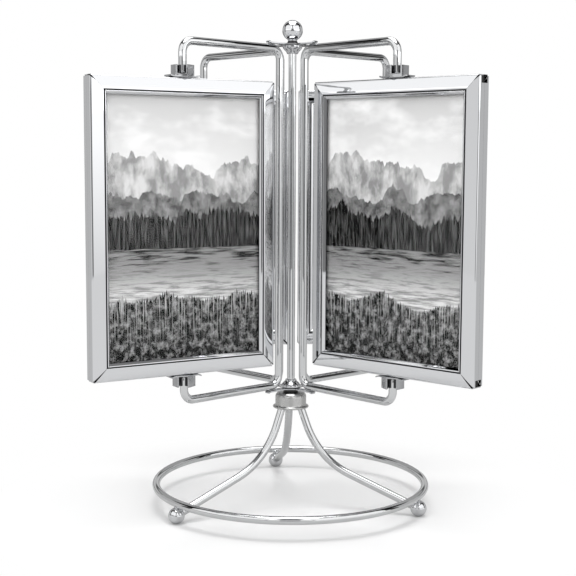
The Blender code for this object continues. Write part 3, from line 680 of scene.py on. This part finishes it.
def pressed_bezel(bm, open_side):
    """The four rails of a rim round its middle, stood upright with its face to the front."""
    half_width = FRAME_WIDTH / 2
    half_height = FRAME_HEIGHT / 2
    top, bottom = MITRE_MOUTHS["top"], MITRE_MOUTHS["bottom"]
    rails = (
        ("top", 0.0, half_width, half_height, (top, top)),
        ("left", 90.0, half_height, half_width, (bottom, top)),
        ("bottom", 180.0, half_width, half_height, (bottom, bottom)),
        ("right", 270.0, half_height, half_width, (top, bottom)),
    )
    strip = bpy.data.meshes.new("strip")
    for side, about, half_length, half_across, mouths in rails:
        rail = bmesh.new()
        pressed_rail(rail, half_length, half_across, mouths, side == open_side)
        bmesh.ops.rotate(rail, verts=rail.verts, matrix=Matrix.Rotation(math.radians(about), 3, "Z"))
        rail.to_mesh(strip)
        rail.free()
        bm.from_mesh(strip)
    bpy.data.meshes.remove(strip)
    bmesh.ops.rotate(bm, verts=bm.verts, matrix=Matrix.Rotation(math.pi / 2, 3, "X"))


# Chromed strip: flatter than the wire, so it mirrors in broad even sheets that only just waver.
strip_chrome = metal(
    "chromed_strip", "#E2E3E5", dull=0.04, shiny=0.015, haze_mm=14.0, wave_mm=22.0, wave_um=9.0
)

for place, matrix in frame_places.items():
    for face, about, open_side in (("front", 0.0, "right"), ("back", math.pi, "left")):
        bm = bmesh.new()
        pressed_bezel(bm, open_side)
        bmesh.ops.rotate(bm, verts=bm.verts, matrix=Matrix.Rotation(about, 3, "Z"))
        bmesh.ops.transform(bm, matrix=matrix, verts=bm.verts)
        name = f"{place}_{face}_pressed_rim"
        node_name = f"{place}_{face}_bezel"
        rim = new_piece(bm, name, strip_chrome, f"{place}_frame", [node_name], crease=30.0)
        rim.data.materials.append(painted_shade_plate)

# Panes: each face has a pane of 1.2 mm clear float glass, cut to the frame, behind the rim's lip.
# Its edges are left as cut, since the rim hides them.

SMEAR_MM = 22.2

# Clear float glass, coated so that it hardly mirrors: colourless through its face.
float_glass, tree, surface = new_material("clear_float_glass")
surface.inputs["Base Color"].default_value = srgb("#FEFEFE")
surface.inputs["Transmission Weight"].default_value = 1.0
surface.inputs["IOR"].default_value = 1.18
position = add_node(tree, "ShaderNodeTexCoord", {}).outputs["Object"]
inputs = {"Vector": position, "Scale": 1000 / SMEAR_MM, "Detail": 5.0}
smear = add_node(tree, "ShaderNodeTexNoise", inputs).outputs["Fac"]
inputs = {"Value": smear, "From Min": 0.5, "From Max": 0.8, "To Min": 0.0, "To Max": 0.03}
film = add_node(tree, "ShaderNodeMapRange", inputs).outputs["Result"]
tree.links.new(film, surface.inputs["Roughness"])
for place in frame_places:
    for face in ("front", "back"):
        refinish(f"{place}_{face}_glass", float_glass)

# Prints: the sample picture that fills each side until photographs go in, on glossy paper. It is a
# made-up black-and-white view over water to woods and hills, and differs from frame to frame.

PRINT_WIDTH = 0.1026
PRINT_HEIGHT = 0.1556
PRINT_FRONT = 0.0016
PRINT_THICKNESS = 0.0003

# How far along the made-up view the next frame's picture is, and a frame's back one, in picture widths.
FRAME_VIEW_STEP = 7.3
BACK_VIEW_STEP = 3.1416

# Glossy black-and-white paper: the picture's greys under a smooth gelatine coat.
photo_paper, tree, surface = new_material("glossy_photo_paper")
surface.inputs["Roughness"].default_value = 0.25
surface.inputs["Specular IOR Level"].default_value = 0.08
print_uv = add_node(tree, "ShaderNodeUVMap", {}, uv_map="print").outputs["UV"]
print_axes = add_node(tree, "ShaderNodeSeparateXYZ", {"Vector": print_uv})
across, up = print_axes.outputs["X"], print_axes.outputs["Y"]


def brushed(tree, scale, detail, rough, seed=0.0):
    """Noise over the picture, stretched by a scale across and a scale upwards."""
    inputs = {"Vector": print_uv, "Location": (seed, seed, 0.0), "Scale": (*scale, 1.0)}
    laid = add_node(tree, "ShaderNodeMapping", inputs).outputs["Vector"]
    inputs = {"Vector": laid, "Scale": 1.0, "Detail": detail, "Roughness": rough}
    return add_node(tree, "ShaderNodeTexNoise", inputs, noise_dimensions="2D").outputs["Fac"]


def ridge(tree, level, swing, scale, detail, seed):
    """The height of a ridge across the picture: a level, and noise along it that swings about it."""
    along = add_node(tree, "ShaderNodeMath", {0: across, 1: scale, 2: seed}, operation="MULTIPLY_ADD")
    inputs = {"W": along.outputs[0], "Scale": 1.0, "Detail": detail, "Roughness": 0.6}
    noise = add_node(tree, "ShaderNodeTexNoise", inputs, noise_dimensions="1D").outputs["Fac"]
    inputs = {0: noise, 1: swing, 2: level - swing / 2}
    return add_node(tree, "ShaderNodeMath", inputs, operation="MULTIPLY_ADD").outputs[0]


def lay_under(tree, line, soft, near, far):
    """Lay what is near over what is far, under a line across the picture that has a soft edge."""
    over = add_node(tree, "ShaderNodeMath", {0: up, 1: line}, operation="SUBTRACT").outputs[0]
    return blend_tones(tree, over, 0.0, soft, near, far)


# Sky: pale over the hills and deeper above, with long soft clouds.
sky = blend_tones(tree, up, 0.62, 1.0, srgb("#EEEEEE"), srgb("#BEBEBE"))
clouds = brushed(tree, (1.7, 5.0), detail=8.0, rough=0.58)
tone = blend_tones(tree, clouds, 0.46, 0.68, sky, srgb("#F4F4F4"))

# Mountains in haze, their faces lit from one side, and then lower and darker hills.
rock = brushed(tree, (9.0, 7.0), detail=7.0, rough=0.62, seed=3.0)
far_tone = blend_tones(tree, rock, 0.40, 0.62, srgb("#8B8B8B"), srgb("#D2D2D2"))
skyline = ridge(tree, level=0.74, swing=0.34, scale=2.3, detail=5.0, seed=4.1)
tone = lay_under(tree, skyline, 0.004, far_tone, tone)
slopes = brushed(tree, (14.0, 18.0), detail=8.0, rough=0.68, seed=5.0)
hill_tone = blend_tones(tree, slopes, 0.36, 0.66, srgb("#4C4C4C"), srgb("#969696"))
hill_line = ridge(tree, level=0.62, swing=0.20, scale=3.4, detail=7.0, seed=9.7)
tone = lay_under(tree, hill_line, 0.003, hill_tone, tone)

# Woods: a dark mass of upright trees, with a ragged line of tops and a few pale trunks.
trunks = brushed(tree, (70.0, 11.0), detail=6.0, rough=0.70, seed=1.0)
wood_tone = blend_tones(tree, trunks, 0.44, 0.80, srgb("#070707"), srgb("#6E6E6E"))
wood_line = ridge(tree, level=0.55, swing=0.16, scale=3.0, detail=2.0, seed=2.3)
tops = ridge(tree, level=0.0, swing=0.07, scale=46.0, detail=3.0, seed=6.1)
ragged = add_node(tree, "ShaderNodeMath", {0: wood_line, 1: tops}, operation="ADD").outputs[0]
tone = lay_under(tree, ragged, 0.003, wood_tone, tone)

# Water: bright where it mirrors the sky, dark under the woods, and broken into level ripples.
ripples = brushed(tree, (5.0, 85.0), detail=6.0, rough=0.66, seed=8.0)
distance = add_node(tree, "ShaderNodeMath", {0: ripples, 1: 0.22, 2: up}, operation="MULTIPLY_ADD").outputs[0]
mirrored = blend_tones(tree, distance, 0.40, 0.52, srgb("#DEDEDE"), srgb("#1C1C1C"))
water_tone = blend_tones(tree, ripples, 0.40, 0.62, srgb("#8E8E8E"), mirrored)
water_line = ridge(tree, level=0.425, swing=0.012, scale=5.0, detail=4.0, seed=6.4)
tone = lay_under(tree, water_line, 0.002, water_tone, tone)

# Shore: dark ground with stones and pale blades of grass that rise over its edge.
stones = brushed(tree, (26.0, 34.0), detail=9.0, rough=0.74, seed=4.0)
ground_tone = blend_tones(tree, stones, 0.47, 0.66, srgb("#0D0D0D"), srgb("#9C9C9C"))
blades = brushed(tree, (120.0, 6.0), detail=4.0, rough=0.60, seed=2.0)
grass_tone = blend_tones(tree, blades, 0.50, 0.70, ground_tone, srgb("#B8B8B8"))
shore_tone = blend_tones(tree, up, 0.05, 0.20, ground_tone, grass_tone)
shore_line = ridge(tree, level=0.24, swing=0.16, scale=2.2, detail=3.0, seed=8.8)
tips = ridge(tree, level=0.0, swing=0.05, scale=95.0, detail=2.0, seed=1.7)
verge = add_node(tree, "ShaderNodeMath", {0: shore_line, 1: tips}, operation="ADD").outputs[0]
tone = lay_under(tree, verge, 0.003, shore_tone, tone)
tree.links.new(tone, surface.inputs["Base Color"])

for number, (place, matrix) in enumerate(frame_places.items()):
    for face, about, face_step in (("front", 0.0, 0.0), ("back", math.pi, BACK_VIEW_STEP)):
        view = 0.5 + FRAME_VIEW_STEP * number + face_step
        bm = bmesh.new()
        bmesh.ops.create_cube(bm, size=1.0)
        bmesh.ops.scale(bm, verts=bm.verts, vec=(PRINT_WIDTH, PRINT_THICKNESS, PRINT_HEIGHT))
        uv = bm.loops.layers.uv.new("print")
        for corner in (loop for side in bm.faces for loop in side.loops):
            x, _, z = corner.vert.co
            corner[uv].uv = (x / PRINT_WIDTH + view, z / PRINT_HEIGHT + 0.5)
        bmesh.ops.translate(bm, verts=bm.verts, vec=(0.0, PRINT_THICKNESS / 2 - PRINT_FRONT, 0.0))
        bmesh.ops.rotate(bm, verts=bm.verts, matrix=Matrix.Rotation(about, 3, "Z"))
        bmesh.ops.transform(bm, matrix=matrix, verts=bm.verts)
        name = f"{place}_{face}_sample_print"
        node_name = f"{place}_{face}_print"
        new_piece(bm, name, photo_paper, f"{place}_frame", [node_name], crease=30.0)

# Boards: a sheet of black card between the two prints of a frame, which it backs and keeps flat. It is
# seen only as a dark line in the open rail ends.

CARD_MOTTLE_MM = 1.11

# Black card: matt, with the soft mottle of pressed fibre.
black_card, tree, surface = new_material("black_card")
surface.inputs["Roughness"].default_value = 0.9
position = add_node(tree, "ShaderNodeTexCoord", {}).outputs["Object"]
inputs = {"Vector": position, "Scale": 1000 / CARD_MOTTLE_MM, "Detail": 5.0}
fibre = add_node(tree, "ShaderNodeTexNoise", inputs).outputs["Fac"]
card_tone = blend_tones(tree, fibre, 0.0, 1.0, srgb("#161616"), srgb("#303030"))
tree.links.new(card_tone, surface.inputs["Base Color"])
for place in frame_places:
    refinish(f"{place}_backing_board", black_card)

# Sockets: a small hexagonal casting on a strap, riveted to the middle of a frame's top and bottom. It
# is bored for the wire's pin and slotted down one side, so that the pin can be sprung in.

SOCKET_EDGE = 0.00022
SOCKET_SAME_POINT = 0.000001
SOCKET_SHARP_ANGLE = 0.7
SOCKET_FLAT_ANGLE = 0.02
BORE_REACH = 0.0028
SLOT_REACH = 0.0064

# Dull chromed zinc: grey, with the slight orange peel of a small casting.
cast_zinc = metal(
    "chromed_zinc_casting", "#B4B5B7", dull=0.22, shiny=0.12, haze_mm=2.0, wave_mm=1.2, wave_um=4.0
)

# Painted shade in the bore and slot: zinc made dark and dull where shade falls.
painted_shade_zinc = metal("painted_shade_zinc", "#4E4E50", dull=0.50, shiny=0.36, haze_mm=1.5, wave_mm=0.5, wave_um=4.0)
for place, matrix in frame_places.items():
    pin_axis = matrix.translation.xy
    for level in ("top", "bottom"):
        node_name = f"{place}_{level}_socket"
        bm = bmesh.new()
        bm.from_mesh(frame["nodes"][node_name].data)
        bmesh.ops.remove_doubles(bm, verts=bm.verts, dist=SOCKET_SAME_POINT)
        bmesh.ops.dissolve_limit(bm, angle_limit=SOCKET_FLAT_ANGLE, verts=bm.verts, edges=bm.edges)
        inner_edges = [edge for edge in bm.edges if len(edge.link_faces) == 2]
        corners = [edge for edge in inner_edges if edge.calc_face_angle() > SOCKET_SHARP_ANGLE]
        round_off(bm, corners, SOCKET_EDGE, 2, clamp=True)
        # Faces of the bore and slot get the painted shade zinc, as shade.
        for face in bm.faces:
            from_axis = face.calc_center_median().xy - pin_axis
            upright = abs(face.normal.z) < 0.5
            offset = abs(from_axis.dot(face.normal.xy))
            face.material_index = int(upright and offset < BORE_REACH and from_axis.length < SLOT_REACH)
        name = f"{place}_{level}_cast_socket"
        socket = new_piece(bm, name, cast_zinc, f"{place}_frame", [node_name], crease=32.0)
        socket.data.materials.append(painted_shade_zinc)

# Studio: a wide pale table, white softboxes over and in front of the stand with dark gaps between
# them, and grey walls. The camera stands where the photographer's did.

CAMERA_FOCUS_MM = 74.96
CAMERA_FROM_SPINDLE = Vector((0.0, -0.7403, 0.2142))
CAMERA_PITCH = 6.121
CAMERA_PAN = -0.159
CAMERA_ROLL = 0.268
TABLE_R = 1.6
MIRRORED_SHEET_END = (0.12, 0.30)
SEEN_SHEET_END = (0.08, 0.19)
FLOOR_BEFORE = 0.81
FLOOR_BEHIND = 0.57
FLOOR_TURN = 0.03
LAMP_AIM_Z = 0.16
LAMP_DISTANCE = 1.3
FILL_LIGHT = 0.50
PRINT_LIGHT = 1.85
BACKDROP_LIGHT = 1.0

bm = bmesh.new()
bmesh.ops.create_circle(bm, cap_ends=True, segments=96, radius=TABLE_R)
mesh = bpy.data.meshes.new("pale_table")
bm.to_mesh(mesh)
bm.free()
table = bpy.data.objects.new("pale_table", mesh)
bpy.context.scene.collection.objects.link(table)

# Pale laminate: an even white, and a little greyer in the chrome that mirrors it. It ends softly in the
# room's floor, which is pure white to the camera and grey in the chrome.
pale_laminate, tree, surface = new_material("pale_laminate")
surface.inputs["Roughness"].default_value = 0.6
surface.inputs["Specular IOR Level"].default_value = 0.15
seen = add_node(tree, "ShaderNodeLightPath", {}).outputs["Is Camera Ray"]
laminate_tone = blend_tones(tree, seen, 0.0, 1.0, srgb("#CFCFCF"), srgb("#F7F7F7"))
tree.links.new(laminate_tone, surface.inputs["Base Color"])
position = add_node(tree, "ShaderNodeTexCoord", {}).outputs["Object"]
away = add_node(tree, "ShaderNodeVectorMath", {0: position}, operation="LENGTH").outputs["Value"]
ends = []
for start, end in (MIRRORED_SHEET_END, SEEN_SHEET_END):
    inputs = {"Value": away, "From Min": start, "From Max": end}
    ends.append(add_node(tree, "ShaderNodeMapRange", inputs).outputs["Result"])
sheet_end = add_node(tree, "ShaderNodeMix", {0: seen, 2: ends[0], 3: ends[1]}, data_type="FLOAT").outputs[0]
depth = add_node(tree, "ShaderNodeSeparateXYZ", {"Vector": position}).outputs["Y"]
inputs = {
    "Value": depth,
    "From Min": -FLOOR_TURN,
    "From Max": FLOOR_TURN,
    "To Min": FLOOR_BEFORE,
    "To Max": FLOOR_BEHIND,
}
beside = add_node(tree, "ShaderNodeMapRange", inputs).outputs["Result"]
beyond = add_node(tree, "ShaderNodeMix", {0: seen, 2: beside, 3: 1.0}, data_type="FLOAT").outputs[0]
room_floor = add_node(tree, "ShaderNodeEmission", {"Strength": beyond}).outputs[0]
sweep = add_node(tree, "ShaderNodeMixShader", {0: sheet_end, 1: surface.outputs[0], 2: room_floor})
tree.links.new(sweep.outputs[0], tree.nodes["Material Output"].inputs["Surface"])
mesh.materials.append(pale_laminate)


def softbox(name, centre, facing, width, height, brightness):
    """A rectangular lamp in a place, facing a point, of an even brightness over its face."""
    lamp = bpy.data.lights.new(name, "AREA")
    lamp.shape = "RECTANGLE"
    lamp.size = width
    lamp.size_y = height
    lamp.energy = math.pi * width * height * brightness
    placed = bpy.data.objects.new(name, lamp)
    bpy.context.scene.collection.objects.link(placed)
    placed.location = centre
    placed.rotation_mode = "QUATERNION"
    placed.rotation_quaternion = (Vector(centre) - Vector(facing)).to_track_quat("Z", "Y")


stand_middle = Vector((spindle.x, spindle.y, LAMP_AIM_Z))


def towards(azimuth, elevation):
    """A lamp's place as seen from the stand's middle, where azimuth 0 is the camera's side."""
    a, e = math.radians(azimuth), math.radians(elevation)
    direction = Vector((math.sin(a) * math.cos(e), -math.cos(a) * math.cos(e), math.sin(e)))
    return stand_middle + LAMP_DISTANCE * direction


softbox("left_softbox", towards(-52.0, 31.0), stand_middle, width=1.72, height=1.04, brightness=0.95)
softbox("right_softbox", towards(50.0, 28.5), stand_middle, width=1.62, height=1.10, brightness=1.05)
softbox("top_softbox", (0.0, -0.02, 0.95), (0.0, -0.02, 0.0), width=0.55, height=0.75, brightness=4.4)

# Grey room: each patch of it is given as degrees round from the camera's side, the same to both sides,
# degrees up, and a grey. A later patch lies over an earlier one.
ROOM_GREY = 0.22
UNDER_LAMPS = ((18.0, 93.0), (-95.0, 8.0))
UNDER_LEFT_LAMP = 0.78
UNDER_RIGHT_LAMP = (0.82, 1.30)
UNDER_RIGHT_RISE = (-6.0, 1.0)
UNDER_LAMPS_TURN = 0.05
ROOM_PATCHES = {
    "gap_beyond_lamps": ((87.0, 97.0), (-95.0, 35.0), 0.05),
    "side_walls": ((97.0, 134.0), (-95.0, 35.0), 0.56),
    "far_floor": ((134.0, 190.0), (-95.0, 30.0), 0.12),
    "far_wall": ((134.0, 190.0), (3.0, 16.0), 0.60),
    "far_ceiling": ((126.0, 190.0), (20.0, 62.0), 0.42),
    "wall_between_lamps": ((-1.0, 18.0), (4.0, 56.0), 0.95),
    "screen_over_camera": ((-1.0, 9.0), (24.0, 45.0), 0.50),
    "camera": ((-1.0, 8.0), (5.0, 15.5), 0.0),
    "black_flag_in_front": ((-1.0, 12.0), (45.0, 60.0), 0.0),
    "black_flags_beside": ((89.0, 126.0), (28.0, 57.0), 0.0),
}
PATCH_SOFTNESS = 1.2

world = bpy.data.worlds.new("grey_room")
bpy.context.scene.world = world
world.use_nodes = True
tree = world.node_tree
room = tree.nodes["Background"]
toward = add_node(tree, "ShaderNodeTexCoord", {}).outputs["Generated"]
room_axes = add_node(tree, "ShaderNodeSeparateXYZ", {"Vector": toward})
to_right = room_axes.outputs["X"]
inputs = {0: room_axes.outputs["Y"], 1: -1.0}
to_camera = add_node(tree, "ShaderNodeMath", inputs, operation="MULTIPLY").outputs[0]
turned_by = add_node(tree, "ShaderNodeMath", {0: to_right, 1: to_camera}, operation="ARCTAN2").outputs[0]
bearing = add_node(tree, "ShaderNodeMath", {0: turned_by}, operation="ABSOLUTE").outputs[0]
elevation = add_node(tree, "ShaderNodeMath", {0: room_axes.outputs["Z"]}, operation="ARCSINE").outputs[0]


def even_grey(level):
    """A colour of one even grey, in linear light."""
    return (level, level, level, 1.0)


def within(tree, angle, low, high):
    """One where an angle is between two angles in degrees and nought outside them, with soft edges."""
    sides = []
    for edge, start, end in ((low, 0.0, 1.0), (high, 1.0, 0.0)):
        inputs = {
            "Value": angle,
            "From Min": math.radians(edge - PATCH_SOFTNESS),
            "From Max": math.radians(edge + PATCH_SOFTNESS),
            "To Min": start,
            "To Max": end,
        }
        side = add_node(tree, "ShaderNodeMapRange", inputs, interpolation_type="SMOOTHSTEP")
        sides.append(side.outputs["Result"])
    return add_node(tree, "ShaderNodeMath", {0: sides[0], 1: sides[1]}, operation="MULTIPLY").outputs[0]


def patch(tree, below, bearings, elevations, tone):
    """Lay a patch of one tone, between two bearings and two elevations, over what is there."""
    round_here = within(tree, bearing, *bearings)
    up_here = within(tree, elevation, *elevations)
    here = add_node(tree, "ShaderNodeMath", {0: round_here, 1: up_here}, operation="MULTIPLY").outputs[0]
    return blend_tones(tree, here, 0.0, 1.0, below, tone)


# The room under the left lamp is one grey, and under the right lamp it brightens upwards.
inputs = {
    "Value": elevation,
    "From Min": math.radians(UNDER_RIGHT_RISE[0]),
    "From Max": math.radians(UNDER_RIGHT_RISE[1]),
    "To Min": UNDER_RIGHT_LAMP[0],
    "To Max": UNDER_RIGHT_LAMP[1],
}
rising = add_node(tree, "ShaderNodeMapRange", inputs).outputs["Result"]
even = even_grey(UNDER_LEFT_LAMP)
under_lamps = blend_tones(tree, to_right, -UNDER_LAMPS_TURN, UNDER_LAMPS_TURN, even, rising)
light = patch(tree, even_grey(ROOM_GREY), *UNDER_LAMPS, under_lamps)
for bearings, elevations, level in ROOM_PATCHES.values():
    light = patch(tree, light, bearings, elevations, even_grey(level))
tree.links.new(light, room.inputs["Color"])

# Only mirrors see the room itself: matt faces, the prints behind the glass and the camera see an even
# white.
path = add_node(tree, "ShaderNodeLightPath", {})
seen_world = room.outputs[0]
for ray, strength in (
    ("Is Diffuse Ray", FILL_LIGHT),
    ("Is Transmission Ray", PRINT_LIGHT),
    ("Is Camera Ray", BACKDROP_LIGHT),
):
    white = add_node(tree, "ShaderNodeBackground", {"Color": even_grey(1.0), "Strength": strength})
    inputs = {0: path.outputs[ray], 1: seen_world, 2: white.outputs[0]}
    seen_world = add_node(tree, "ShaderNodeMixShader", inputs).outputs[0]
tree.links.new(seen_world, tree.nodes["World Output"].inputs["Surface"])

lens = bpy.data.cameras.new("photographers_camera")
lens.sensor_width = 36.0
lens.lens = CAMERA_FOCUS_MM
lens.clip_start = 0.01
lens.clip_end = 20.0
camera = bpy.data.objects.new("photographers_camera", lens)
bpy.context.scene.collection.objects.link(camera)
stands_at = Matrix.Translation(spindle_foot + CAMERA_FROM_SPINDLE)
panned = Matrix.Rotation(math.radians(-CAMERA_PAN), 4, "Z")
tilted = Matrix.Rotation(math.radians(90.0 - CAMERA_PITCH), 4, "X")
rolled = Matrix.Rotation(math.radians(CAMERA_ROLL), 4, "Z")
camera.matrix_world = stands_at @ panned @ tilted @ rolled
bpy.context.scene.camera = camera
bpy.context.scene.view_settings.view_transform = "Standard"
